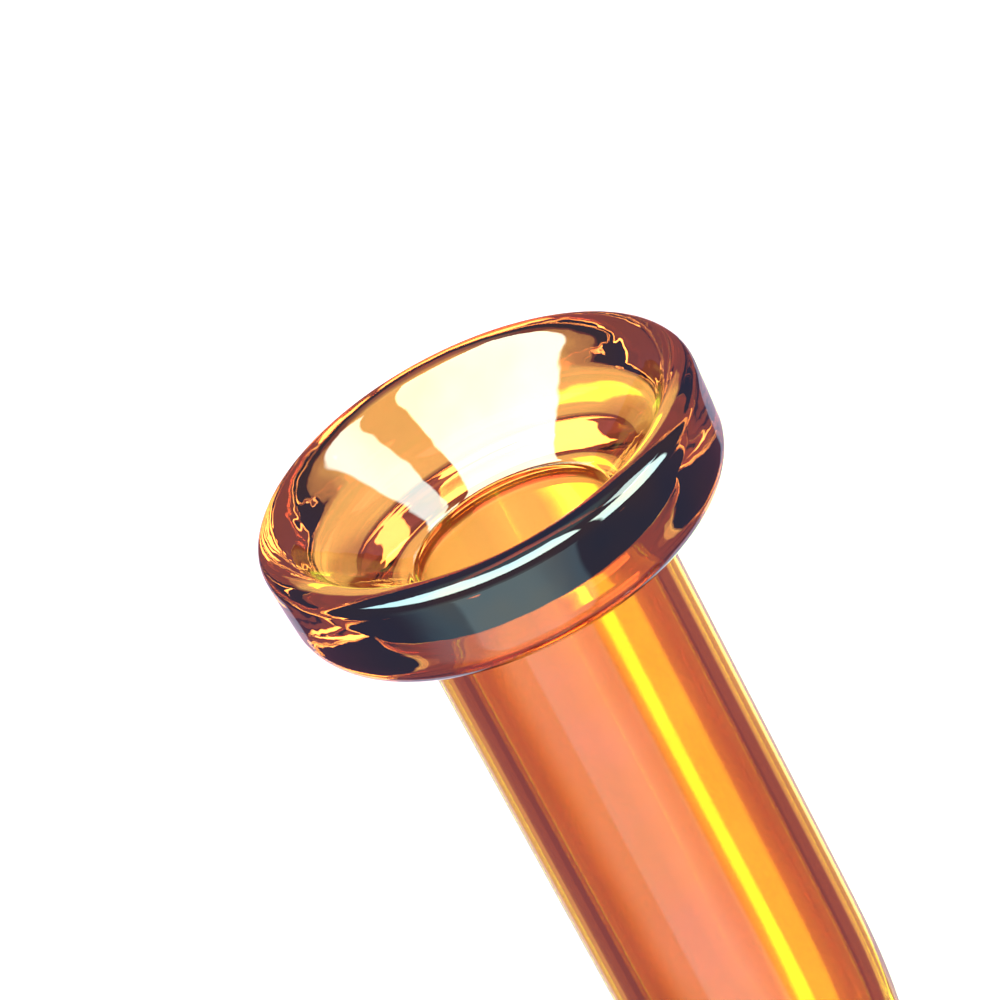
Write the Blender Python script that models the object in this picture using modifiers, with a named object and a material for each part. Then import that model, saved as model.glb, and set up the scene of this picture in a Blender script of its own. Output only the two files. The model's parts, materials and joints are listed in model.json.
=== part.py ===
# Hand-blown glass water pipe: a beaker base, a neck with three ice pinches and a flared, dished
# mouthpiece, and a downstem and a bowl that pull out of their ground joints.
# Metres, +Z up. The pipe stands on its foot with the neck's axis on Z.

import math

import bmesh
import bpy
from mathutils import Matrix, Vector

# Whole object
HEIGHT = 0.300
GAP = 0.0003              # left between sections that are fused, and between seated pieces
SEGMENTS = 48             # around the pipe
SMALL_SEGMENTS = 32       # around the stem and the bowl

# Neck and mouthpiece
NECK_RADIUS = 0.019
WALL = 0.004
BORE_RADIUS = NECK_RADIUS - WALL
RIM_RADIUS = 0.0332
CREST_RADIUS = 0.0304     # where the rim is highest
LIP_RADIUS = 0.0064       # rounding under the rim
RIM_DEPTH = 0.0171        # crest to the underside
THROAT_DEPTH = 0.0143     # crest to the edge of the bore
MOUTH_DEPTH = 0.026       # crest to the seam with the neck

# Ice pinches
PINCH_COUNT = 3
PINCH_HEIGHT = 0.163
PINCH_DEPTH = 0.0075
PINCH_REACH = 0.018       # up and down the neck
PINCH_SPREAD = math.radians(27)

# Beaker and foot
SHOULDER_HEIGHT = 0.118   # seam between neck and beaker
FLARE_RADIUS = 0.030
BASE_RADIUS = 0.052
HEEL_RADIUS = 0.012       # rounding at the foot of the cone
FOOT_THICKNESS = 0.007
FOOT_ROUNDING = 0.0045

# Stem joint, measured along its axis from the point where it meets the beaker
JOINT_TILT = math.radians(45)
JOINT_HEIGHT = 0.064
SOCKET_RADIUS = 0.012
SOCKET_BACK = -0.0115
SOCKET_MOUTH = 0.036
TAPER = 0.05              # loss of radius along a ground joint
STEM_GROUND_RADIUS = 0.0092
STEM_GROUND_END = 0.014
STEM_COLLAR_RADIUS = 0.0115
STEM_TOP = 0.044
TUBE_RADIUS = 0.006
TUBE_BORE = 0.0042
TUBE_END = -0.068
SLIT_COUNT = 3            # cuts right through, so twice as many slits
SLIT_WIDTH = 0.001
SLIT_LENGTH = 0.018
SLIT_MARGIN = 0.005

# Bowl
BOWL_GROUND_RADIUS = 0.0070
BOWL_GROUND_END = 0.026
BOWL_BORE = 0.003
BOWL_COLLAR_TOP = 0.048
CUP_CENTRE = 0.066
CUP_INNER_RADIUS = 0.0123
CUP_WALL = 0.0028
CUP_TOP = 0.072
CUP_HOLE = 0.0025
HANDLE_HEIGHT = 0.062
HANDLE_RADIUS = 0.0034
HANDLE_REACH = 0.026
HANDLE_RISE = 0.010
SCREEN_RADIUS = 0.0064
SCREEN_THICKNESS = 0.0006
SCREEN_HOLE = 0.0007

# Colours, linear RGB
AMBER = (0.90, 0.38, 0.10, 1)
SMOKE_AMBER = (0.62, 0.26, 0.12, 1)
STEEL = (0.60, 0.60, 0.62, 1)


def clear_scene():
    for item in list(bpy.data.objects):
        bpy.data.objects.remove(item, do_unlink=True)


def make_collection(name):
    collection = bpy.data.collections.new(name)
    bpy.context.scene.collection.children.link(collection)
    return collection


def make_material(name, colour, roughness=0.05, metallic=0.0, transmission=0.0):
    material = bpy.data.materials.new(name)
    material.use_nodes = True
    shader = material.node_tree.nodes["Principled BSDF"]
    shader.inputs["Base Color"].default_value = colour
    shader.inputs["Roughness"].default_value = roughness
    shader.inputs["Metallic"].default_value = metallic
    shader.inputs["Transmission Weight"].default_value = transmission
    return material


def arc(centre, radius, start, end, steps):
    """Points (radius, height) on a circle's arc, angles in degrees from +X."""
    points = []
    for step in range(steps + 1):
        angle = math.radians(start + (end - start) * step / steps)
        points.append((centre[0] + radius * math.cos(angle), centre[1] + radius * math.sin(angle)))
    return points


def bezier(start, pull_a, pull_b, end, steps):
    """Points on a cubic curve, with its two ends."""
    points = []
    for step in range(steps + 1):
        t = step / steps
        weights = ((1 - t) ** 3, 3 * t * (1 - t) ** 2, 3 * t * t * (1 - t), t ** 3)
        corners = (start, pull_a, pull_b, end)
        points.append(tuple(sum(w * c[axis] for w, c in zip(weights, corners)) for axis in (0, 1)))
    return points


def without_repeats(points):
    kept = []
    for point in points:
        if not kept or (Vector(point) - Vector(kept[-1])).length > GAP / 10:
            kept.append(point)
    return kept


def shade_round(mesh):
    mesh.shade_smooth()
    mesh.set_sharp_from_angle(angle=math.radians(35))


def add_object(name, data, collection, material=None, parent=None):
    item = bpy.data.objects.new(name, data)
    collection.objects.link(item)
    if material:
        data.materials.append(material)
    if parent:
        item.parent = parent
    return item


def turned(name, profile, collection, material=None, parent=None, segments=SEGMENTS, closed=True):
    """A profile that runs down the outer side first, turned about Z by a Screw modifier."""
    points = without_repeats(profile)
    mesh = bpy.data.meshes.new(name)
    vertices = [(r, 0, z) for r, z in points]
    edges = [(i, i + 1) for i in range(len(points) - 1)]
    if closed:
        edges.append((len(points) - 1, 0))
    mesh.from_pydata(vertices, edges, [])
    item = add_object(name, mesh, collection, material, parent)
    screw = item.modifiers.new("turn", "SCREW")
    screw.steps = segments
    screw.render_steps = segments
    screw.use_merge_vertices = True
    screw.merge_threshold = GAP / 30
    screw.use_smooth_shade = True
    return item


def evaluated_mesh(item):
    bpy.context.view_layer.update()
    depsgraph = bpy.context.evaluated_depsgraph_get()
    return bpy.data.meshes.new_from_object(item.evaluated_get(depsgraph))


def make_cutter(item):
    item.hide_render = True
    item.display_type = "WIRE"
    return item


def cut(item, cutter):
    boolean = item.modifiers.new("cut " + cutter.name, "BOOLEAN")
    boolean.operation = "DIFFERENCE"
    boolean.solver = "EXACT"
    boolean.object = cutter


def cylinder_cutter(name, radius, low, high, collection, parent=None, place=(0, 0)):
    mesh = bpy.data.meshes.new(name)
    shape = bmesh.new()
    bmesh.ops.create_cone(shape, cap_ends=True, segments=SMALL_SEGMENTS, radius1=radius,
                          radius2=radius, depth=high - low)
    bmesh.ops.translate(shape, verts=shape.verts, vec=(place[0], place[1], (low + high) / 2))
    shape.to_mesh(mesh)
    shape.free()
    return make_cutter(add_object(name, mesh, collection, None, parent))


def box_cutter(name, size, centre, turn, collection, parent):
    mesh = bpy.data.meshes.new(name)
    shape = bmesh.new()
    bmesh.ops.create_cube(shape, size=1)
    bmesh.ops.scale(shape, verts=shape.verts, vec=size)
    bmesh.ops.translate(shape, verts=shape.verts, vec=centre)
    bmesh.ops.rotate(shape, verts=shape.verts, cent=(0, 0, 0), matrix=Matrix.Rotation(turn, 3, "Z"))
    shape.to_mesh(mesh)
    shape.free()
    return make_cutter(add_object(name, mesh, collection, None, parent))


def mouthpiece_profile():
    crest = (CREST_RADIUS, HEIGHT)
    seam = HEIGHT - MOUTH_DEPTH + GAP / 2
    underside = HEIGHT - RIM_DEPTH
    side = (RIM_RADIUS - 0.0003, underside + LIP_RADIUS)
    shoulder = (RIM_RADIUS, HEIGHT - 0.0026)
    outer = bezier(crest, (CREST_RADIUS + 0.0012, HEIGHT), (RIM_RADIUS, HEIGHT - 0.0009), shoulder, 5)
    outer += arc((side[0] - LIP_RADIUS, side[1]), LIP_RADIUS, 0, -90, 6)
    fillet = 0.0022
    outer += [(NECK_RADIUS + fillet, underside)]
    outer += arc((NECK_RADIUS + fillet, underside - fillet), fillet, 90, 180, 3)
    outer += [(NECK_RADIUS, seam)]
    throat = (BORE_RADIUS, HEIGHT - THROAT_DEPTH)
    brim = (CREST_RADIUS - 0.0036, HEIGHT - 0.0026)
    inner = [(BORE_RADIUS, seam), (BORE_RADIUS, throat[1] - 0.001)]
    inner += bezier(throat, (throat[0] + 0.0047, throat[1] + 0.0044),
                    (brim[0] - 0.0035, brim[1] - 0.0038), brim, 7)
    inner += bezier(brim, (brim[0] + 0.0014, brim[1] + 0.0016),
                    (CREST_RADIUS - 0.0014, HEIGHT), crest, 4)[:-1]
    return outer + inner


def make_neck(collection, material):
    """A pinched shell, thickened inwards."""
    top = HEIGHT - MOUTH_DEPTH - GAP / 2
    bottom = SHOULDER_HEIGHT + GAP / 2
    upper_pinch = PINCH_HEIGHT + 2.3 * PINCH_REACH
    lower_pinch = PINCH_HEIGHT - 2.3 * PINCH_REACH
    heights = [top, (top + upper_pinch) / 2]
    rings = 16
    heights += [upper_pinch + (lower_pinch - upper_pinch) * i / rings for i in range(rings + 1)]
    heights += [bottom]
    profile = [(NECK_RADIUS, z) for z in heights]
    blank = turned("neck_blank", profile, collection, closed=False)
    mesh = evaluated_mesh(blank)
    bpy.data.objects.remove(blank, do_unlink=True)
    mesh.name = "neck_tube"
    for vertex in mesh.vertices:
        direction = math.atan2(vertex.co.y, vertex.co.x)
        depth = 0
        for pinch in range(PINCH_COUNT):
            turn = direction - 2 * math.pi * pinch / PINCH_COUNT
            turn = math.atan2(math.sin(turn), math.cos(turn))
            along = (vertex.co.z - PINCH_HEIGHT) / PINCH_REACH
            depth += PINCH_DEPTH * math.exp(-(turn / PINCH_SPREAD) ** 2 - along ** 2)
        if lower_pinch < vertex.co.z < upper_pinch:
            radius = NECK_RADIUS - depth
            vertex.co.x = radius * math.cos(direction)
            vertex.co.y = radius * math.sin(direction)
    shade_round(mesh)
    neck = add_object("neck_tube", mesh, collection, material)
    solid = neck.modifiers.new("wall", "SOLIDIFY")
    solid.thickness = WALL
    solid.offset = -1
    return neck


def cone_circles():
    """Centres of the flare's arc, outside the cone, and of the heel's arc, inside it."""
    flare = Vector((NECK_RADIUS + FLARE_RADIUS, SHOULDER_HEIGHT - GAP / 2))
    heel = Vector((BASE_RADIUS - HEEL_RADIUS, FOOT_THICKNESS + GAP + 0.005))
    return flare, heel


def cone_tilt():
    """The angle from vertical of the straight wall that touches both arcs."""
    flare, heel = cone_circles()
    across, up = flare - heel
    return math.asin((FLARE_RADIUS + HEEL_RADIUS) / math.hypot(across, up)) - math.atan2(across, up)


def cone_radius(height):
    """The straight wall's outer radius at a height."""
    flare, _ = cone_circles()
    tilt = cone_tilt()
    top = (flare.x - FLARE_RADIUS * math.cos(tilt), flare.y - FLARE_RADIUS * math.sin(tilt))
    return top[0] + (top[1] - height) * math.tan(tilt)


def beaker_profile():
    """Down the outside from the neck to the foot, and back up the inside."""
    flare, heel = cone_circles()
    tilt = math.degrees(cone_tilt())
    foot = FOOT_THICKNESS + GAP
    outer = arc(flare, FLARE_RADIUS, 180, 180 + tilt, 5)
    outer += arc(heel, HEEL_RADIUS, tilt, -20, 5)
    outer += [(outer[-1][0], foot)]
    inner = arc(heel, HEEL_RADIUS - WALL, -20, tilt, 5)
    inner += arc(flare, FLARE_RADIUS + WALL, 180 + tilt, 180, 5)
    return outer + [(inner[0][0], foot)] + inner


def foot_profile():
    radius = BASE_RADIUS - 0.0009
    rounding = FOOT_ROUNDING
    points = [(0, FOOT_THICKNESS), (radius - 0.0004, FOOT_THICKNESS), (radius, FOOT_THICKNESS - 0.0004)]
    points += arc((radius - rounding, rounding), rounding, 0, -90, 5)
    return points + [(0, 0)]


def taper(radius, top, height):
    """A ground joint's radius at a height below its wide end."""
    return radius - TAPER * (top - height)


def socket_profile():
    mouth = SOCKET_MOUTH
    lip = 0.0008
    inner_top = STEM_GROUND_RADIUS + GAP
    inner_end = taper(inner_top, mouth, STEM_GROUND_END - GAP)
    outer = [(SOCKET_RADIUS + lip, mouth), (SOCKET_RADIUS + lip, mouth - 0.003),
             (SOCKET_RADIUS, mouth - 0.005), (SOCKET_RADIUS, SOCKET_BACK)]
    inner = [(inner_end, SOCKET_BACK), (inner_end, STEM_GROUND_END - GAP), (inner_top, mouth)]
    return outer + inner


def stem_joint_profile():
    seat = SOCKET_MOUTH
    outer = [(STEM_COLLAR_RADIUS - 0.0008, STEM_TOP), (STEM_COLLAR_RADIUS, STEM_TOP - 0.0008),
             (STEM_COLLAR_RADIUS, seat + GAP), (STEM_GROUND_RADIUS, seat + GAP),
             (taper(STEM_GROUND_RADIUS, seat, STEM_GROUND_END), STEM_GROUND_END)]
    cup_top = BOWL_GROUND_RADIUS + GAP
    cup_end = BOWL_GROUND_END - GAP
    inner = [(TUBE_BORE, STEM_GROUND_END), (TUBE_BORE, cup_end - 0.002),
             (taper(cup_top, STEM_TOP, cup_end), cup_end), (cup_top, STEM_TOP)]
    return outer + inner


def stem_tube_profile():
    top = STEM_GROUND_END - GAP
    return [(TUBE_RADIUS, top), (TUBE_RADIUS, TUBE_END + 0.0006), (TUBE_RADIUS - 0.0006, TUBE_END),
            (TUBE_BORE, TUBE_END), (TUBE_BORE, top)]


def bowl_joint_profile():
    seat = STEM_TOP
    collar = 0.0085
    outer = [(collar - 0.0005, BOWL_COLLAR_TOP), (collar, BOWL_COLLAR_TOP - 0.0005),
             (collar, seat + GAP), (BOWL_GROUND_RADIUS, seat + GAP),
             (taper(BOWL_GROUND_RADIUS, seat, BOWL_GROUND_END), BOWL_GROUND_END)]
    return outer + [(BOWL_BORE, BOWL_GROUND_END), (BOWL_BORE, BOWL_COLLAR_TOP)]


def cup_profile():
    outer_radius = CUP_INNER_RADIUS + CUP_WALL
    base = BOWL_COLLAR_TOP + GAP
    centre = (0, CUP_CENTRE)
    floor = CUP_CENTRE - math.sqrt(CUP_INNER_RADIUS ** 2 - CUP_HOLE ** 2)
    low = math.degrees(math.asin((floor - CUP_CENTRE) / CUP_INNER_RADIUS))
    lip = CUP_WALL / 2
    outer = arc((outer_radius - lip, CUP_TOP - lip), lip, 90, 0, 3)
    outer += arc(centre, outer_radius, 0, -52, 6)
    outer += [(0.0084, base + 0.0012), (0.0082, base)]
    inner = [(CUP_HOLE, base)] + arc(centre, CUP_INNER_RADIUS, low, 0, 8)
    inner += arc((CUP_INNER_RADIUS + lip, CUP_TOP - lip), lip, 180, 90, 3)
    return outer + inner


def make_handle(collection, material, parent):
    """A horn-shaped rod drawn out from the side of the cup."""
    curve = bpy.data.curves.new("bowl_handle", "CURVE")
    curve.dimensions = "3D"
    curve.bevel_depth = HANDLE_RADIUS
    curve.bevel_resolution = 2
    curve.use_fill_caps = True
    spline = curve.splines.new("POLY")
    steps = 9
    spline.points.add(steps)
    start = CUP_INNER_RADIUS + CUP_WALL + GAP
    for step in range(steps + 1):
        t = step / steps
        x = start + HANDLE_REACH * math.sin(t * math.pi / 2)
        z = HANDLE_HEIGHT + HANDLE_RISE * (1 - math.cos(t * math.pi / 2))
        spline.points[step].co = (x, 0, z, 1)
        spline.points[step].radius = 1.15 - 0.55 * t
    return add_object("bowl_handle", curve, collection, material, parent)


def make_screen(collection, cutters, material, parent):
    top = CUP_CENTRE - math.sqrt(CUP_INNER_RADIUS ** 2 - SCREEN_RADIUS ** 2) + GAP + SCREEN_THICKNESS
    low = top - SCREEN_THICKNESS
    profile = [(0, top), (SCREEN_RADIUS, top), (SCREEN_RADIUS, low), (0, low)]
    screen = turned("bowl_screen", profile, collection, material, parent, 24, closed=False)
    for ring, count in ((0.0, 1), (0.0034, 6)):
        for hole in range(count):
            turn = 2 * math.pi * hole / count
            place = (ring * math.cos(turn), ring * math.sin(turn))
            name = "screen_hole_%d_%d" % (count, hole)
            cutter = cylinder_cutter(name, SCREEN_HOLE, low - 0.001, top + 0.001, cutters, parent, place)
            cut(screen, cutter)
    return screen


def main():
    clear_scene()
    parts = make_collection("glass water pipe")
    cutters = make_collection("cutters")
    amber = make_material("amber_glass", AMBER, transmission=0.9)
    smoke = make_material("smoke_glass", SMOKE_AMBER, transmission=0.9)
    steel = make_material("steel_gauze", STEEL, 0.35, 1.0)

    turned("mouthpiece", mouthpiece_profile(), parts, amber)
    make_neck(parts, amber)
    beaker = turned("beaker_body", beaker_profile(), parts, amber)
    turned("base_foot", foot_profile(), parts, amber, closed=False)

    axis = bpy.data.objects.new("stem_axis", None)
    parts.objects.link(axis)
    axis.location = (cone_radius(JOINT_HEIGHT), 0, JOINT_HEIGHT)
    axis.rotation_euler = (0, JOINT_TILT, 0)
    bpy.context.view_layer.update()

    hole = cylinder_cutter("socket_hole", SOCKET_RADIUS + GAP, -0.020, 0.030, cutters, axis)
    cut(beaker, hole)
    turned("stem_socket", socket_profile(), parts, amber, axis, SMALL_SEGMENTS)
    turned("downstem_joint", stem_joint_profile(), parts, amber, axis, SMALL_SEGMENTS)
    tube = turned("downstem_tube", stem_tube_profile(), parts, amber, axis, SMALL_SEGMENTS)
    slit_centre = TUBE_END + SLIT_MARGIN + SLIT_LENGTH / 2
    for slit in range(SLIT_COUNT):
        size = (4 * TUBE_RADIUS, SLIT_WIDTH, SLIT_LENGTH)
        turn = math.pi * (slit + 0.5) / SLIT_COUNT
        cut(tube, box_cutter("slit_%d" % slit, size, (0, 0, slit_centre), turn, cutters, axis))
    turned("bowl_joint", bowl_joint_profile(), parts, smoke, axis, SMALL_SEGMENTS)
    turned("bowl_cup", cup_profile(), parts, smoke, axis, SMALL_SEGMENTS)
    make_handle(parts, smoke, axis)
    make_screen(parts, cutters, steel, axis)


main()
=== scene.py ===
import json
import math

import bmesh
import bpy
from mathutils import Matrix, Vector


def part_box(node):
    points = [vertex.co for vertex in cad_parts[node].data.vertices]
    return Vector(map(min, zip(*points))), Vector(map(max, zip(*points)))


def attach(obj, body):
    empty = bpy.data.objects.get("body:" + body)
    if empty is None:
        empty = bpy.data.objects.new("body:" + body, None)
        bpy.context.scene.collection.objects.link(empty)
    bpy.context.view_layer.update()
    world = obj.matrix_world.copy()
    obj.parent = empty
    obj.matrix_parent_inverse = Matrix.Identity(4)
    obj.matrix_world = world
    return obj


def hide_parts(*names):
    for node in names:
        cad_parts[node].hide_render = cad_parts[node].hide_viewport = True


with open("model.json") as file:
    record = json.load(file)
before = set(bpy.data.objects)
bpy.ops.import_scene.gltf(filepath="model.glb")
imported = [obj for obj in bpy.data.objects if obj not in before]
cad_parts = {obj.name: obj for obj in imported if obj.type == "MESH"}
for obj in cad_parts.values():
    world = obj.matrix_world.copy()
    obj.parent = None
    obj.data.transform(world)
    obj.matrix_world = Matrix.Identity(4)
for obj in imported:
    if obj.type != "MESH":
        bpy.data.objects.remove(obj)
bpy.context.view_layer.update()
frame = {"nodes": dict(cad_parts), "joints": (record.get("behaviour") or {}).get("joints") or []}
print("frame loaded:", len(frame["nodes"]), "sections of glass and gauze")

# Seams between the sections, and the axis that the downstem slides on
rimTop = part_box("mouthpiece")[1]
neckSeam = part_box("neck_tube")[0]
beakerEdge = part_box("beaker_body")[1]
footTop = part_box("base_foot")[1]
pullJoint = next(j for j in frame["joints"] if j["name"] == "downstem_pull")
stemAxis = Vector(pullJoint["axis"]).normalized()

gap = 0.0003               # between pieces that are seated in each other


# Outlines, as points (distance from the axis, height)

def arc(centre, radius, start, end, steps):
    points = []
    for step in range(steps + 1):
        angle = math.radians(start + (end - start) * step / steps)
        points.append((centre[0] + radius * math.cos(angle), centre[1] + radius * math.sin(angle)))
    return points


def bezier(start, pullA, pullB, end, steps):
    points = []
    for step in range(steps + 1):
        t = step / steps
        weights = ((1 - t) ** 3, 3 * t * (1 - t) ** 2, 3 * t * t * (1 - t), t ** 3)
        corners = (start, pullA, pullB, end)
        points.append(tuple(sum(w * c[k] for w, c in zip(weights, corners)) for k in (0, 1)))
    return points


def straight(start, end, steps):
    return [tuple(a + (b - a) * i / steps for a, b in zip(start, end)) for i in range(steps + 1)]


def joinRuns(*runs):
    points = []
    for run in runs:
        for point in run:
            if not points or math.dist(point, points[-1]) > 0.00002:
                points.append(point)
    return points


def taperAt(radius, top, height):
    return radius - joint["taper"] * (top - height)


# Meshes

def turnsAround(count):
    return [2 * math.pi * k / count for k in range(count)]


def circle(radius, height, around):
    return [(radius * math.cos(a), radius * math.sin(a), height) for a in turnsAround(around)]


def makeObject(name, mesh):
    item = bpy.data.objects.new(name, mesh)
    bpy.context.scene.collection.objects.link(item)
    return item


def bandBetween(shape, low, high, finish):
    count = max(len(low), len(high))
    for k in range(count if count > 1 else 0):
        after = (k + 1) % count
        if len(low) == 1:
            corners = (low[0], high[k], high[after])
        elif len(high) == 1:
            corners = (low[k], high[0], low[after])
        else:
            corners = (low[k], high[k], high[after], low[after])
        shape.faces.new(corners).material_index = finish


def ringsToMesh(name, rings, closed, finishes=None):
    # rings holds lists of points, and a ring of one point closes the shape on the axis
    shape = bmesh.new()
    loops = [[shape.verts.new(point) for point in ring] for ring in rings]
    if closed:
        loops.append(loops[0])
    for index, (low, high) in enumerate(zip(loops, loops[1:])):
        bandBetween(shape, low, high, finishes[index] if finishes else 0)
    bmesh.ops.recalc_face_normals(shape, faces=shape.faces)
    mesh = bpy.data.meshes.new(name)
    shape.to_mesh(mesh)
    shape.free()
    return mesh


def turned(name, profile, around, closed=False, finishAt=None):
    rings = []
    for radius, height in profile:
        if radius < 0.000001:
            rings.append([(0, 0, height)])
        else:
            rings.append(circle(radius, height, around))
    ends = profile + profile[:1]
    finishes = None
    if finishAt:
        finishes = [finishAt(ends[i], ends[i + 1]) for i in range(len(profile))]
    return ringsToMesh(name, rings, closed, finishes)


def combine(mesh, tool, operation):
    # An exact Boolean, applied at once, that keeps each side's own finishes
    body = makeObject("blank", mesh)
    other = makeObject("tool", tool)
    step = body.modifiers.new("combine", "BOOLEAN")
    step.operation = operation
    step.solver = "EXACT"
    step.object = other
    step.material_mode = "INDEX"
    bpy.context.view_layer.update()
    graph = bpy.context.evaluated_depsgraph_get()
    result = bpy.data.meshes.new_from_object(body.evaluated_get(graph))
    for item, old in ((body, mesh), (other, tool)):
        bpy.data.objects.remove(item, do_unlink=True)
        bpy.data.meshes.remove(old)
    return result


def cleaned(mesh, name, sharpAngle=38):
    shape = bmesh.new()
    shape.from_mesh(mesh)
    bmesh.ops.remove_doubles(shape, verts=shape.verts, dist=0.000002)
    bmesh.ops.dissolve_degenerate(shape, edges=shape.edges, dist=0.000001)
    loose = [v for v in shape.verts if not v.link_faces]
    bmesh.ops.delete(shape, geom=loose, context="VERTS")
    wide = [f for f in shape.faces if len(f.verts) > 4]
    bmesh.ops.triangulate(shape, faces=wide)
    bmesh.ops.recalc_face_normals(shape, faces=shape.faces)
    openEdges = sum(1 for e in shape.edges if len(e.link_faces) != 2)
    shape.to_mesh(mesh)
    shape.free()
    mesh.name = name
    mesh.shade_smooth()
    mesh.set_sharp_from_angle(angle=math.radians(sharpAngle))
    print("  ", name, len(mesh.polygons), "faces,", openEdges, "open edges")
    return mesh


# The fused pipe: rim, dish, neck, beaker, foot and socket in one wall of glass

pipe = {
    "height": rimTop.z,
    "neckRadius": 0.019,
    "wall": 0.004,
    "rimRadius": rimTop.x,
    "crestRadius": 0.0304,     # where the rim is highest
    "crestFall": 0.0026,       # crest to the top of the flank
    "brimWidth": 0.0036,       # crest to the edge of the dish
    "brimDepth": 0.0026,
    "rimDepth": 0.0171,        # crest to the underside
    "lipRadius": 0.0064,       # rounding under the rim
    "underFillet": 0.0022,
    "throatDepth": 0.0143,     # crest to the edge of the bore
    "shoulder": neckSeam.z,     # where neck and beaker meet
    "flareRadius": 0.030,
    "baseRadius": beakerEdge.x,
    "heelRadius": 0.012,
    "heelHeight": 0.0123,
    "footTop": footTop.z,
    "footRing": 0.040,         # radius of the ring that it stands on
    "footRounding": 0.0045,
    "pushUp": 0.0009,          # how far the middle of the foot stands off the table
    "around": 160,
}

pinches = {
    "count": 3,
    "height": 0.163,
    "depth": 0.0075,
    "reach": 0.018,            # up and down the neck
    "spread": math.radians(27),
}

# Along the stem's axis, from the point where it meets the beaker
joint = {
    "height": 0.064,
    "socketRadius": 0.012,
    "socketBack": -0.0115,
    "mouth": 0.036,
    "lip": 0.0008,
    "weld": 0.0055,            # fillet where the socket is fused to the beaker
    "taper": 0.05,
    "around": 72,
}

flareCentre = Vector((pipe["neckRadius"] + pipe["flareRadius"], pipe["shoulder"]))
heelCentre = Vector((pipe["baseRadius"] - pipe["heelRadius"], pipe["heelHeight"]))
slopeAcross, slopeUp = flareCentre - heelCentre
coneTilt = (math.asin((pipe["flareRadius"] + pipe["heelRadius"]) / math.hypot(slopeAcross, slopeUp))
            - math.atan2(slopeAcross, slopeUp))


def coneRadius(height):
    top = flareCentre - pipe["flareRadius"] * Vector((math.cos(coneTilt), math.sin(coneTilt)))
    return top.x + (top.y - height) * math.tan(coneTilt)


def rimOutline():
    height = pipe["height"]
    crest = (pipe["crestRadius"], height)
    under = height - pipe["rimDepth"]
    side = (pipe["rimRadius"] - 0.0003, under + pipe["lipRadius"])
    shoulder = (pipe["rimRadius"], height - pipe["crestFall"])
    crown = bezier(crest, (crest[0] + 0.0012, height), (shoulder[0], height - 0.0009), shoulder, 14)
    flank = bezier(shoulder, (shoulder[0], shoulder[1] - 0.0025),
                   (side[0] + 0.0001, side[1] + 0.0022), side, 8)
    lip = arc((side[0] - pipe["lipRadius"], side[1]), pipe["lipRadius"], 0, -90, 18)
    fillet = pipe["underFillet"]
    neck = arc((pipe["neckRadius"] + fillet, under - fillet), fillet, 90, 180, 7)
    return joinRuns(crown, flank, lip, neck)


def dishOutline():
    # From the bore up through the dish to the crest
    height = pipe["height"]
    bore = pipe["neckRadius"] - pipe["wall"]
    throat = height - pipe["throatDepth"]
    brim = (pipe["crestRadius"] - pipe["brimWidth"], height - pipe["brimDepth"])
    edge = bezier((bore, throat - 0.0006), (bore, throat - 0.0001), (bore + 0.0001, throat + 0.0001),
                  (bore + 0.0005, throat + 0.0005), 5)
    dish = bezier(edge[-1], (bore + 0.0047, throat + 0.0044), (brim[0] - 0.0035, brim[1] - 0.0038), brim, 20)
    crown = bezier(brim, (brim[0] + 0.0014, brim[1] + 0.0016), (pipe["crestRadius"] - 0.0016, height),
                   (pipe["crestRadius"], height), 12)
    return joinRuns(edge, dish, crown)[:-1]


def pipeOutline():
    neck, wall, rounding = pipe["neckRadius"], pipe["wall"], pipe["footRounding"]
    tilt = math.degrees(coneTilt)
    rim = rimOutline()
    outside = joinRuns(
        rim,
        straight(rim[-1], (neck, pipe["shoulder"]), 64),
        arc(flareCentre, pipe["flareRadius"], 180, 180 + tilt, 9),
        arc(heelCentre, pipe["heelRadius"], tilt, 0, 7),
        arc((pipe["baseRadius"] - rounding, rounding), rounding, 0, -90, 7),
        bezier((pipe["footRing"], 0.0), (0.036, 0.0), (0.030, pipe["pushUp"]), (0.0, pipe["pushUp"]), 8),
    )
    dish = dishOutline()
    inside = joinRuns(
        bezier((0.0, pipe["footTop"]), (0.020, pipe["footTop"]), (0.036, pipe["footTop"]),
               (0.0435, pipe["footTop"] + 0.0008), 8),
        arc(heelCentre, pipe["heelRadius"] - wall, -28, tilt, 7),
        arc(flareCentre, pipe["flareRadius"] + wall, 180 + tilt, 180, 9),
        straight((neck - wall, pipe["shoulder"]), dish[0], 64),
        dish,
    )
    return outside + inside


def pressPinches(mesh):
    # Both faces of the wall move together, so the glass keeps its thickness
    for vertex in mesh.vertices:
        radius = math.hypot(vertex.co.x, vertex.co.y)
        along = (vertex.co.z - pinches["height"]) / pinches["reach"]
        if radius < 0.010 or not -2.4 < along < 4.5:
            continue
        bearing = math.atan2(vertex.co.y, vertex.co.x)
        depth = 0
        for pinch in range(pinches["count"]):
            turn = bearing - 2 * math.pi * pinch / pinches["count"]
            turn = math.atan2(math.sin(turn), math.cos(turn))
            depth += pinches["depth"] * math.exp(-(turn / pinches["spread"]) ** 2 - along ** 2)
        vertex.co.x *= (radius - depth) / radius
        vertex.co.y *= (radius - depth) / radius


stemOrigin = Vector((coneRadius(joint["height"]), 0, joint["height"]))
stemTurn = Vector((0, 0, 1)).rotation_difference(stemAxis)
stemPlace = Matrix.Translation(stemOrigin) @ stemTurn.to_matrix().to_4x4()


def wallMeets(radius, turn):
    # How far along the stem's axis a line beside it leaves the beaker
    low, high = -0.030, 0.030
    for _ in range(30):
        middle = (low + high) / 2
        point = stemPlace @ Vector((radius * math.cos(turn), radius * math.sin(turn), middle))
        if math.hypot(point.x, point.y) < coneRadius(point.z):
            low = middle
        else:
            high = middle
    return (low + high) / 2


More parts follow.
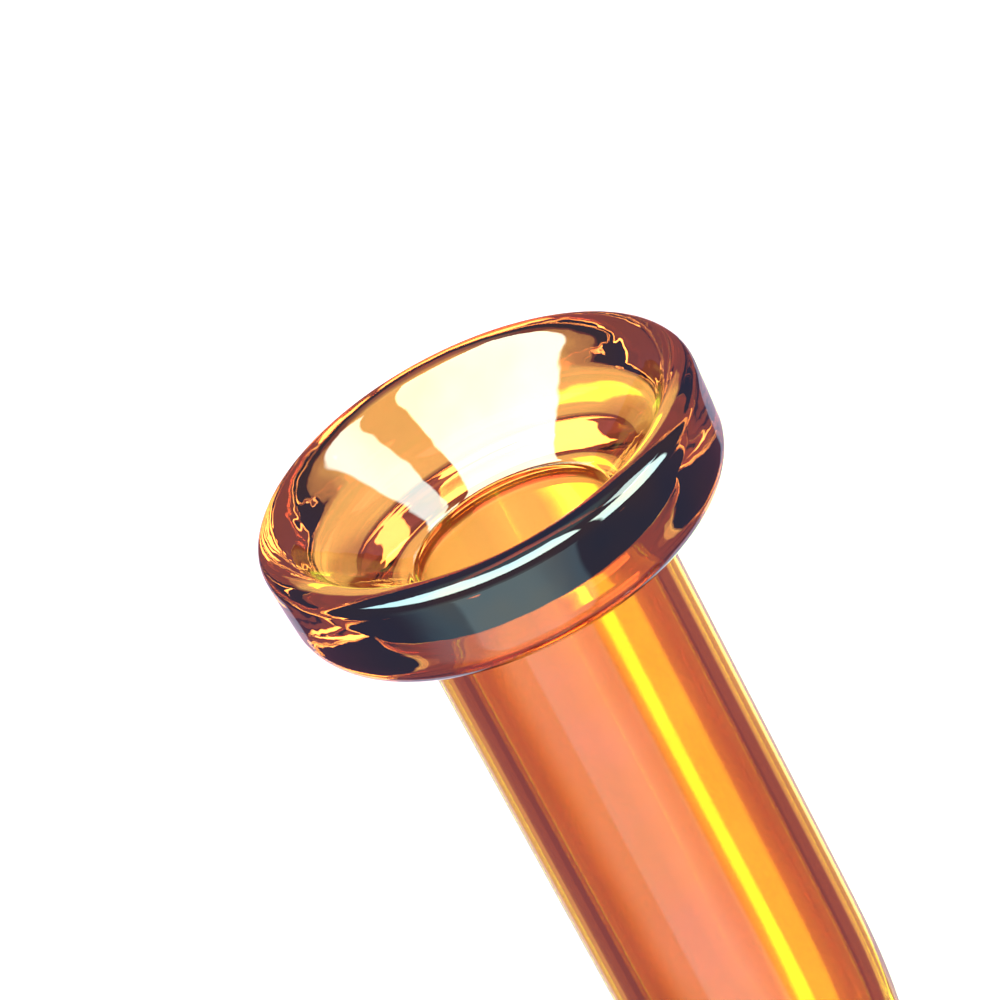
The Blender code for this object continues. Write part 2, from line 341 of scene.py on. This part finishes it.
def socketBlank():
    # A solid plug with a fillet that spreads onto the beaker, sunk a hair into its wall
    radius, mouth, lip, weld = joint["socketRadius"], joint["mouth"], joint["lip"], joint["weld"]
    rings = [[] for _ in range(17)]
    for turn in turnsAround(joint["around"]):
        meet = wallMeets(radius, turn)
        nearEdge = (radius + 0.4 * weld, wallMeets(radius + 0.4 * weld, turn) - 0.00003)
        edge = (radius + weld, wallMeets(radius + weld, turn) - 0.00003)
        outline = joinRuns(
            arc((radius + lip - 0.001, mouth - 0.001), 0.001, 90, 0, 3),
            [(radius + lip, mouth - 0.003), (radius + 0.4 * lip, mouth - 0.0042), (radius, mouth - 0.0052)],
            bezier((radius, meet + weld), (radius, meet + 0.4 * weld), nearEdge, edge, 7),
            [(radius + weld - 0.001, edge[1] - 0.0010), (radius, joint["socketBack"] + 0.0012)],
        )
        for ring, (r, z) in zip(rings, outline):
            ring.append((r * math.cos(turn), r * math.sin(turn), z))
    back = arc((radius - 0.0012, joint["socketBack"] + 0.0012), 0.0012, 0, -90, 3)
    rings += [circle(r, z, joint["around"]) for r, z in back[1:]]
    rings = [[(0, 0, mouth)]] + rings + [[(0, 0, joint["socketBack"])]]
    mesh = ringsToMesh("socketBlank", rings, closed=False)
    mesh.transform(stemPlace)
    return mesh


def socketBore():
    mouth, back = joint["mouth"], joint["socketBack"]
    top = downstem["groundRadius"] + gap
    groundEnd = downstem["groundEnd"] - gap
    narrow = taperAt(top, mouth, groundEnd)
    outline = [(0, mouth + 0.001), (top + 0.0014, mouth + 0.001), (top + 0.0004, mouth),
               (top, mouth - 0.0005), (narrow, groundEnd), (narrow, back - 0.004), (0, back - 0.004)]
    mesh = turned("socketBore", outline, joint["around"],
                  finishAt=lambda a, b: 1 if b == (narrow, groundEnd) else 0)
    mesh.transform(stemPlace)
    return mesh


def makePipe():
    mesh = turned("pipe", pipeOutline(), pipe["around"], closed=True)
    pressPinches(mesh)
    mesh = combine(mesh, socketBlank(), "UNION")
    mesh = combine(mesh, socketBore(), "DIFFERENCE")
    return makeObject("fusedPipe", cleaned(mesh, "fusedPipe"))


# The downstem: ground joint, weld beads and a tube with sawn slits

downstem = {
    "groundRadius": 0.0092,
    "groundEnd": 0.014,
    "collarRadius": 0.0115,
    "top": 0.044,
    "tubeRadius": 0.006,
    "tubeBore": 0.0042,
    "tubeEnd": -0.068,
    "slits": 3,                # each is sawn right through the tube
    "slitWidth": 0.001,
    "slitLength": 0.018,
    "slitMargin": 0.005,
    "around": 64,
}


def downstemOutline():
    seat, top = joint["mouth"], downstem["top"]
    ground, groundEnd = downstem["groundRadius"], downstem["groundEnd"]
    collar, tube, bore = downstem["collarRadius"], downstem["tubeRadius"], downstem["tubeBore"]
    end = downstem["tubeEnd"]
    narrow = taperAt(ground, seat, groundEnd)
    cupTop = bowl["groundRadius"] + gap
    cupEnd = bowl["groundEnd"] - gap
    cupNarrow = taperAt(cupTop, top, cupEnd)
    outside = joinRuns(
        arc((collar - 0.0016, top - 0.0016), 0.0016, 90, 0, 5),
        arc((collar - 0.0016, seat + gap + 0.0016), 0.0016, 0, -90, 5),
        [(ground, seat + gap)],
        straight((ground, seat + gap), (narrow, groundEnd + 0.0008), 4),
        bezier((narrow, groundEnd + 0.0008), (narrow, groundEnd - 0.0016),
               (tube + 0.0010, groundEnd - 0.0018), (tube + 0.0006, groundEnd - 0.0036), 6),
        bezier((tube + 0.0006, groundEnd - 0.0036), (tube + 0.0004, groundEnd - 0.0050),
               (tube, groundEnd - 0.0050), (tube, groundEnd - 0.0070), 4),
        straight((tube, groundEnd - 0.0070), (tube, end + 0.0009), 24),
        arc((tube - 0.0009, end + 0.0009), 0.0009, 0, -180, 8),
    )
    inside = joinRuns(
        straight((bore, end + 0.0009), (bore, cupEnd - 0.0060), 24),
        bezier((bore, cupEnd - 0.0060), (bore, cupEnd - 0.0030),
               (cupNarrow, cupEnd - 0.0030), (cupNarrow, cupEnd), 6),
        straight((cupNarrow, cupEnd), (cupTop, top - 0.0008), 4),
        [(cupTop + 0.0008, top)],
    )
    return outside + inside


def isGround(a, b):
    # The two tapers that are ground to fit
    seat, top = joint["mouth"], downstem["top"]
    middle = (a[1] + b[1]) / 2
    radius = (a[0] + b[0]) / 2
    outer = radius > downstem["groundRadius"] - 0.0014 and downstem["groundEnd"] < middle < seat
    inner = radius > bowl["groundRadius"] - 0.0010 and bowl["groundEnd"] - gap < middle < top - 0.0009
    slope = abs(a[0] - b[0]) < 0.2 * abs(a[1] - b[1])
    return 1 if slope and (outer or inner) else 0


def slitCutter(turn):
    # A saw cut with round ends, right through the tube
    half = downstem["slitWidth"] / 2
    long = downstem["slitLength"] / 2 - half
    centre = downstem["tubeEnd"] + downstem["slitMargin"] + downstem["slitLength"] / 2
    outline = arc((0, long), half, 0, 180, 6) + arc((0, -long), half, 180, 360, 6)
    reach = 2 * downstem["tubeRadius"]
    rings = [[(x, y, centre + z) for y, z in outline] for x in (-reach, reach)]
    shape = bmesh.new()
    loops = [[shape.verts.new(point) for point in ring] for ring in rings]
    bandBetween(shape, loops[0], loops[1], 0)
    for loop in loops:
        shape.faces.new(loop)
    bmesh.ops.recalc_face_normals(shape, faces=shape.faces)
    mesh = bpy.data.meshes.new("slit")
    shape.to_mesh(mesh)
    shape.free()
    mesh.transform(Matrix.Rotation(turn, 4, "Z"))
    return mesh


def makeDownstem():
    mesh = turned("downstem", downstemOutline(), downstem["around"], closed=True, finishAt=isGround)
    for slit in range(downstem["slits"]):
        mesh = combine(mesh, slitCutter(math.pi * (slit + 0.5) / downstem["slits"]), "DIFFERENCE")
    mesh.transform(stemPlace)
    return makeObject("downstem", cleaned(mesh, "downstem"))


# The bowl: ground joint, cup and a drawn horn to lift it by

bowl = {
    "groundRadius": 0.0070,
    "groundEnd": 0.026,
    "bore": 0.003,
    "collarRadius": 0.0085,
    "collarTop": 0.048,
    "cupCentre": 0.066,
    "cupRadius": 0.0123,       # inside
    "wall": 0.0028,
    "top": 0.072,
    "hole": 0.0025,
    "around": 80,
}

handle = {
    "height": 0.062,
    "reach": 0.026,
    "rise": 0.010,
    "rootRadius": 0.0039,
    "tipRadius": 0.0020,
    "rootFlare": 0.0016,
    "flareReach": 0.0022,
    "rings": 30,
    "around": 28,
}


def bowlOutline():
    seat, centre = downstem["top"], bowl["cupCentre"]
    inner, wall, collar = bowl["cupRadius"], bowl["wall"], bowl["collarRadius"]
    outer = inner + wall
    lip = wall / 2
    ground = bowl["groundRadius"]
    narrow = taperAt(ground, seat, bowl["groundEnd"])
    waist = bowl["collarTop"] + 0.0012
    lowAngle = -52
    low = arc((0, centre), outer, lowAngle, lowAngle, 1)[0]
    holeAngle = -math.degrees(math.acos(bowl["hole"] / inner))
    outside = joinRuns(
        arc((outer - lip, bowl["top"] - lip), lip, 90, 0, 6),
        arc((0, centre), outer, 0, lowAngle, 16),
        bezier(low, (low[0] - 0.0012, low[1] - 0.0010),
               (0.0080, waist + 0.0008), (0.0078, waist - 0.0006), 5),
        arc((collar - 0.0009, seat + gap + 0.0019), 0.0009, 60, -90, 6),
        [(ground, seat + gap)],
        straight((ground, seat + gap), (narrow, bowl["groundEnd"] + 0.0005), 4),
        arc((narrow - 0.0006, bowl["groundEnd"] + 0.0006), 0.0006, 0, -90, 3),
    )
    inside = joinRuns(
        arc((bowl["bore"] + 0.0004, bowl["groundEnd"] + 0.0004), 0.0004, 270, 180, 3),
        straight((bowl["bore"], bowl["groundEnd"] + 0.0004), (bowl["bore"], bowl["collarTop"]), 6),
        arc((0, centre), inner, holeAngle, 0, 18),
        arc((inner + lip, bowl["top"] - lip), lip, 180, 90, 6)[:-1],
    )
    return outside + inside


def isBowlGround(a, b):
    middle = (a[1] + b[1]) / 2
    outer = min(a[0], b[0]) > bowl["bore"] + 0.0020
    slope = abs(a[0] - b[0]) < 0.2 * abs(a[1] - b[1])
    return 1 if outer and slope and bowl["groundEnd"] < middle < downstem["top"] else 0


def handleMesh():
    # A solid horn that starts inside the cup's wall and widens where it is fused on
    start = bowl["cupRadius"] + 0.4 * bowl["wall"]
    seat = bowl["cupRadius"] + bowl["wall"] + gap
    reach = seat - start + handle["reach"]
    rings = []
    count = handle["rings"]
    for step in range(count + 1):
        t = step / count
        swing = t * math.pi / 2
        x = start + reach * math.sin(swing)
        z = handle["height"] + handle["rise"] * (1 - math.cos(swing))
        slope = Vector((reach * math.cos(swing), 0, handle["rise"] * math.sin(swing)))
        slope.normalize()
        radius = handle["rootRadius"] + (handle["tipRadius"] - handle["rootRadius"]) * t
        radius += handle["rootFlare"] * math.exp(-((x - seat) / handle["flareReach"]) ** 2)
        side = Vector((0, 1, 0))
        up = side.cross(slope)
        rings.append((Vector((x, 0, z)), side, up, slope, radius))
    loops = [[rings[0][0]]]
    turns = turnsAround(handle["around"])
    for centre, side, up, slope, radius in rings:
        loops.append([centre + radius * (math.cos(a) * side + math.sin(a) * up) for a in turns])
    centre, side, up, slope, radius = rings[-1]
    for angle in (25, 50, 70):
        lift = math.radians(angle)
        middle = centre + radius * 0.9 * math.sin(lift) * slope
        wide = radius * math.cos(lift)
        loops.append([middle + wide * (math.cos(a) * side + math.sin(a) * up) for a in turns])
    loops.append([centre + radius * 0.9 * slope])
    return ringsToMesh("horn", loops, closed=False)


def makeBowl():
    mesh = turned("bowl", bowlOutline(), bowl["around"], closed=True, finishAt=isBowlGround)
    mesh = combine(mesh, handleMesh(), "UNION")
    mesh.transform(stemPlace)
    return makeObject("bowl", cleaned(mesh, "bowl"))


# The screen: a disc of woven wire with a hem

screen = {
    "radius": 0.0063,
    "seatRadius": 0.0064,      # where the cup's wall is as wide as the screen
    "thickness": 0.0006,
    "pitch": 0.0008,
    "wire": 0.00013,           # radius of one wire
    "hem": 0.0002,             # radius of the ring round the edge
    "around": 72,
}


def tube(shape, path, radius, around, closed=False):
    loops = []
    count = len(path)
    for i, point in enumerate(path):
        before = path[i - 1] if i or closed else point
        after = path[(i + 1) % count] if i + 1 < count or closed else point
        along = (after - before).normalized()
        side = along.cross(Vector((0, 0, 1))).normalized()
        up = side.cross(along)
        ring = [point + radius * (math.cos(a) * side + math.sin(a) * up) for a in turnsAround(around)]
        loops.append([shape.verts.new(spot) for spot in ring])
    if closed:
        loops.append(loops[0])
    for low, high in zip(loops, loops[1:]):
        bandBetween(shape, low, high, 0)
    if not closed:
        shape.faces.new(loops[0])
        shape.faces.new(loops[-1])


def makeScreen():
    # Wires pass over and under each other, and stop at the hem
    seat = bowl["cupCentre"] - math.sqrt(bowl["cupRadius"] ** 2 - screen["seatRadius"] ** 2) + gap
    middle = seat + screen["thickness"] / 2
    reach = screen["radius"] - screen["hem"]
    pitch = screen["pitch"]
    count = int(reach / pitch)
    shape = bmesh.new()
    for across in (0, 1):
        for row in range(-count, count + 1):
            offset = row * pitch
            half = math.sqrt(max(reach ** 2 - offset ** 2, 0)) - 0.00002
            if half < pitch:
                continue
            steps = 6 * max(2, round(2 * half / pitch))
            path = []
            for step in range(steps + 1):
                s = -half + 2 * half * step / steps
                wave = math.cos(math.pi * s / pitch) * (1 if (row + across) % 2 else -1)
                height = middle + screen["wire"] * wave
                path.append(Vector((offset, s, height) if across else (s, offset, height)))
            tube(shape, path, screen["wire"], 6)
    hem = [Vector(point) for point in circle(reach, middle, screen["around"])]
    tube(shape, hem, screen["hem"], 8, closed=True)
    bmesh.ops.recalc_face_normals(shape, faces=shape.faces)
    mesh = bpy.data.meshes.new("bowlScreen")
    shape.to_mesh(mesh)
    shape.free()
    mesh.transform(stemPlace)
    mesh.shade_smooth()
    return makeObject("bowlScreen", mesh)


# Finishes

def newFinish(name):
    finish = bpy.data.materials.new(name)
    finish.use_nodes = True
    return finish, finish.node_tree, finish.node_tree.nodes["Principled BSDF"]


def place(tree, scale=(1, 1, 1)):
    where = tree.nodes.new("ShaderNodeTexCoord")
    stretch = tree.nodes.new("ShaderNodeMapping")
    stretch.inputs["Scale"].default_value = scale
    tree.links.new(where.outputs["Object"], stretch.inputs["Vector"])
    return stretch.outputs["Vector"]


def noise(tree, scale, detail=2.0, stretch=(1, 1, 1)):
    grain = tree.nodes.new("ShaderNodeTexNoise")
    grain.inputs["Scale"].default_value = scale
    grain.inputs["Detail"].default_value = detail
    tree.links.new(place(tree, stretch), grain.inputs["Vector"])
    return grain.outputs["Fac"]


def between(tree, value, low, high, fromLow=0.35, fromHigh=0.65):
    spread = tree.nodes.new("ShaderNodeMapRange")
    spread.inputs["From Min"].default_value = fromLow
    spread.inputs["From Max"].default_value = fromHigh
    spread.inputs["To Min"].default_value = low
    spread.inputs["To Max"].default_value = high
    tree.links.new(value, spread.inputs["Value"])
    return spread.outputs["Result"]


def blendColours(tree, value, low, high):
    mix = tree.nodes.new("ShaderNodeMix")
    mix.data_type = "RGBA"
    mix.inputs["A"].default_value = (*low, 1)
    mix.inputs["B"].default_value = (*high, 1)
    tree.links.new(value, mix.inputs["Factor"])
    return mix.outputs["Result"]


def calculate(tree, operation, *values):
    node = tree.nodes.new("ShaderNodeMath")
    node.operation = operation
    for socket, value in zip(node.inputs, values):
        if isinstance(value, (int, float)):
            socket.default_value = value
        else:
            tree.links.new(value, socket)
    return node.outputs[0]


def ripple(tree, shader, height, strength, distance):
    bump = tree.nodes.new("ShaderNodeBump")
    bump.inputs["Strength"].default_value = strength
    bump.inputs["Distance"].default_value = distance
    tree.links.new(height, bump.inputs["Height"])
    tree.links.new(bump.outputs["Normal"], shader.inputs["Normal"])


glass = {
    "index": 1.47,
    "coatIndex": 2.3,
    "drawnLines": 0.07,        # height of the lines along the tube, as a share of the waves'
    "waveScale": 120,
    "waveDepth": 0.00012,
}

# Light that has crossed the wall takes the tint, and the coat's thickness in nanometres sets its lustre
amber = {"tint": (1.0, 0.57, 0.10), "tintThick": (0.97, 0.52, 0.08), "coat": 170, "coatSpread": 6}
paleAmber = {"tint": (0.97, 0.80, 0.52), "tintThick": (0.95, 0.74, 0.44), "coat": 120, "coatSpread": 8}
smoke = {"tint": (0.55, 0.26, 0.12), "tintThick": (0.42, 0.18, 0.09), "coat": 185, "coatSpread": 14}
groundTint = (0.93, 0.90, 0.86)
gauze = {"steel": (0.62, 0.60, 0.58), "burnt": (0.42, 0.33, 0.24)}


def handWorked(tree, height):
    # Slow waves left by the flame and the reamer, only above this height
    upward = tree.nodes.new("ShaderNodeSeparateXYZ")
    tree.links.new(place(tree), upward.inputs[0])
    above = between(tree, upward.outputs["Z"], 0, 1, height, height + 0.004)
    return calculate(tree, "MULTIPLY", noise(tree, glass["waveScale"], 2), above)


def lustreFinish(name, look, workedAbove=1.0):
    # Clear glass with a thin fumed coat, a little uneven, and faint lines from drawing the tube
    finish, tree, shader = newFinish(name)
    shader.inputs["Roughness"].default_value = 0.0
    shader.inputs["IOR"].default_value = glass["index"]
    shader.inputs["Transmission Weight"].default_value = 1.0
    shader.inputs["Thin Film IOR"].default_value = glass["coatIndex"]
    cloud = noise(tree, 38, 3)
    colour = blendColours(tree, between(tree, cloud, 0, 1), look["tint"], look["tintThick"])
    tree.links.new(colour, shader.inputs["Base Color"])
    thin, thick = look["coat"] - look["coatSpread"], look["coat"] + look["coatSpread"]
    tree.links.new(between(tree, cloud, thin, thick), shader.inputs["Thin Film Thickness"])
    drawn = calculate(tree, "MULTIPLY", noise(tree, 260, 1, (1, 1, 0.05)), glass["drawnLines"])
    waves = calculate(tree, "ADD", drawn, handWorked(tree, workedAbove))
    ripple(tree, shader, waves, 1.0, glass["waveDepth"])
    return finish


def groundFinish(name, tint):
    # Ground glass is matt and white, with a fine grit
    finish, tree, shader = newFinish(name)
    shader.inputs["Base Color"].default_value = (*tint, 1)
    shader.inputs["IOR"].default_value = glass["index"]
    shader.inputs["Transmission Weight"].default_value = 0.85
    grit = noise(tree, 5200, 3)
    tree.links.new(between(tree, grit, 0.34, 0.5), shader.inputs["Roughness"])
    ripple(tree, shader, grit, 0.35, 0.00005)
    return finish


def gauzeFinish():
    finish, tree, shader = newFinish("steel gauze")
    shader.inputs["Metallic"].default_value = 1.0
    heat = noise(tree, 420, 3)
    tree.links.new(blendColours(tree, between(tree, heat, 0, 1), gauze["steel"], gauze["burnt"]),
                   shader.inputs["Base Color"])
    tree.links.new(between(tree, noise(tree, 2600, 2), 0.28, 0.45), shader.inputs["Roughness"])
    return finish


print("blowing the pipe")
pipePiece = makePipe()
lustre = lustreFinish("fumed amber glass", amber, pipe["height"] - pipe["throatDepth"] - 0.001)
ground = groundFinish("ground glass", groundTint)
for finish in (lustre, ground):
    pipePiece.data.materials.append(finish)
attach(pipePiece, "pipe")
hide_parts("mouthpiece", "neck_tube", "beaker_body", "base_foot", "stem_socket")

print("drawing the downstem")
downstemPiece = makeDownstem()
for finish in (lustreFinish("lightly fumed stem glass", paleAmber), ground):
    downstemPiece.data.materials.append(finish)
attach(downstemPiece, "downstem")
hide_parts("downstem_joint", "downstem_tube")

print("shaping the bowl and its horn")
bowlPiece = makeBowl()
for finish in (lustreFinish("smoky fumed glass", smoke), ground):
    bowlPiece.data.materials.append(finish)
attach(bowlPiece, "bowl")
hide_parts("bowl_joint", "bowl_cup", "bowl_handle")

print("weaving the screen")
screenPiece = makeScreen()
screenPiece.data.materials.append(gauzeFinish())
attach(screenPiece, "screen")
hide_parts("bowl_screen")


# The studio. Bearing 0 is away from the camera and 90 is to its right, and lift is above the horizon.
# Every panel adds its light: half width, half height and soft edge in degrees.

roomLight = (0.27, 0.085, 0.14)
paperLight = 1.0           # the white paper behind the object
fillLight = 1.15           # the even light that the paper and the table get
panels = [
    {"name": "backdrop", "bearing": 3, "lift": -36, "wide": 32, "tall": 20, "soft": 3,
     "light": (0.50, 0.47, 0.62)},
    {"name": "backdrop glow", "bearing": 1, "lift": -37, "wide": 9, "tall": 20, "soft": 11,
     "light": (0.46, 0.55, 0.60)},
    {"name": "lamp on the backdrop", "bearing": 7.5, "lift": -33, "wide": 3.4, "tall": 6, "soft": 2,
     "light": (0.8, 2.0, 0.0)},
    {"name": "lamp tube", "bearing": 5, "lift": -31, "wide": 0.6, "tall": 4, "soft": 0.8,
     "light": (1.0, 4.5, 0.6)},
    {"name": "left softbox", "bearing": -149, "lift": 53, "wide": 59, "tall": 19, "soft": 3,
     "light": (5.6, 3.4, 3.8)},
    {"name": "right softbox", "bearing": 120, "lift": 17, "wide": 21, "tall": 20, "soft": 3,
     "light": (5.6, 3.4, 3.6)},
    {"name": "right card", "bearing": 105, "lift": 46, "wide": 13, "tall": 10, "soft": 3,
     "light": (3.6, 2.4, 3.0)},
    {"name": "overhead", "bearing": 0, "lift": 80, "wide": 180, "tall": 8, "soft": 10,
     "light": (0.15, 0.12, 0.12)},
    {"name": "grey board", "bearing": -171, "lift": -38, "wide": 30, "tall": 20, "soft": 4,
     "light": (0.33, 0.21, 0.25)},
    {"name": "grey curtain", "bearing": -152, "lift": -38, "wide": 22, "tall": 20, "soft": 24,
     "light": (0.26, 0.18, 0.20)},
]


def heading(bearing, lift):
    a, b = math.radians(bearing), math.radians(lift)
    return Vector((math.sin(a) * math.cos(b), math.cos(a) * math.cos(b), math.sin(b)))


def alongDirection(tree, looking, direction):
    node = tree.nodes.new("ShaderNodeVectorMath")
    node.operation = "DOT_PRODUCT"
    tree.links.new(looking, node.inputs[0])
    node.inputs[1].default_value = direction
    return node.outputs["Value"]


def insideOf(tree, angle, half, soft):
    # 1 within the half angle, falling to 0 over the soft edge
    edge = tree.nodes.new("ShaderNodeMapRange")
    edge.interpolation_type = "SMOOTHSTEP"
    edge.inputs["From Min"].default_value = math.radians(half + soft)
    edge.inputs["From Max"].default_value = math.radians(half)
    edge.inputs["To Min"].default_value = 0
    edge.inputs["To Max"].default_value = 1
    tree.links.new(calculate(tree, "ABSOLUTE", angle), edge.inputs["Value"])
    return edge.outputs["Result"]


def panelMask(tree, looking, panel):
    ahead = alongDirection(tree, looking, heading(panel["bearing"], 0))
    aside = alongDirection(tree, looking, heading(panel["bearing"] + 90, 0))
    across = calculate(tree, "ARCTAN2", aside, ahead)
    lift = calculate(tree, "ARCSINE", alongDirection(tree, looking, (0, 0, 1)))
    upward = calculate(tree, "SUBTRACT", lift, math.radians(panel["lift"]))
    return calculate(tree, "MULTIPLY", insideOf(tree, across, panel["wide"], panel["soft"]),
                     insideOf(tree, upward, panel["tall"], panel["soft"]))


def makeStudio():
    world = bpy.data.worlds.new("studio")
    bpy.context.scene.world = world
    world.use_nodes = True
    tree = world.node_tree
    mirrored = tree.nodes["Background"]
    looking = tree.nodes.new("ShaderNodeTexCoord").outputs["Generated"]
    colour = None
    for panel in panels:
        mix = tree.nodes.new("ShaderNodeMix")
        mix.label = panel["name"]
        mix.data_type = "RGBA"
        mix.blend_type = "ADD"
        mix.inputs["A"].default_value = (*roomLight, 1)
        if colour:
            tree.links.new(colour, mix.inputs["A"])
        mix.inputs["B"].default_value = (*panel["light"], 1)
        tree.links.new(panelMask(tree, looking, panel), mix.inputs["Factor"])
        colour = mix.outputs["Result"]
    tree.links.new(colour, mirrored.inputs["Color"])
    # The paper backdrop and the soft light that falls on it are even, and only the glass mirrors the panels
    paper = tree.nodes.new("ShaderNodeBackground")
    paper.inputs["Color"].default_value = (1, 1, 1, 1)
    paper.inputs["Strength"].default_value = paperLight
    fill = tree.nodes.new("ShaderNodeBackground")
    fill.inputs["Color"].default_value = (1, 1, 1, 1)
    fill.inputs["Strength"].default_value = fillLight
    ray = tree.nodes.new("ShaderNodeLightPath")
    lit = tree.nodes.new("ShaderNodeMixShader")
    seen = tree.nodes.new("ShaderNodeMixShader")
    tree.links.new(ray.outputs["Is Diffuse Ray"], lit.inputs["Fac"])
    tree.links.new(mirrored.outputs["Background"], lit.inputs[1])
    tree.links.new(fill.outputs["Background"], lit.inputs[2])
    tree.links.new(ray.outputs["Is Camera Ray"], seen.inputs["Fac"])
    tree.links.new(lit.outputs["Shader"], seen.inputs[1])
    tree.links.new(paper.outputs["Background"], seen.inputs[2])
    tree.links.new(seen.outputs["Shader"], tree.nodes["World Output"].inputs["Surface"])


def makeFloor():
    size = 6.0
    mesh = bpy.data.meshes.new("table")
    corners = [(-size, -size, 0), (size, -size, 0), (size, size, 0), (-size, size, 0)]
    mesh.from_pydata(corners, [], [(0, 1, 2, 3)])
    floor = makeObject("table", mesh)
    finish, tree, shader = newFinish("white table")
    shader.inputs["Base Color"].default_value = (0.92, 0.92, 0.92, 1)
    shader.inputs["Roughness"].default_value = 0.9
    shader.inputs["Specular IOR Level"].default_value = 0.0
    mesh.materials.append(finish)
    floor.visible_transmission = False
    floor.visible_glossy = False


camera = {
    "above": math.radians(28.49),
    "roll": math.radians(27.99),
    "distance": 0.7705,
    "aimAcross": 0.0005,
    "aimBelowRim": 0.0090,
    "lens": 201.2,
}


def makeCamera():
    data = bpy.data.cameras.new("camera")
    data.lens = camera["lens"]
    data.sensor_width = 36
    data.clip_start = 0.05
    item = bpy.data.objects.new("camera", data)
    bpy.context.scene.collection.objects.link(item)
    aim = Vector((camera["aimAcross"], 0, pipe["height"] - camera["aimBelowRim"]))
    back = Vector((0, -math.cos(camera["above"]), math.sin(camera["above"])))
    facing = (-back).to_track_quat("-Z", "Y").to_matrix() @ Matrix.Rotation(-camera["roll"], 3, "Z")
    item.matrix_world = Matrix.Translation(aim + back * camera["distance"]) @ facing.to_4x4()
    bpy.context.scene.camera = item


print("setting up the studio")
makeStudio()
makeFloor()
makeCamera()
bpy.context.scene.view_settings.view_transform = "Standard"
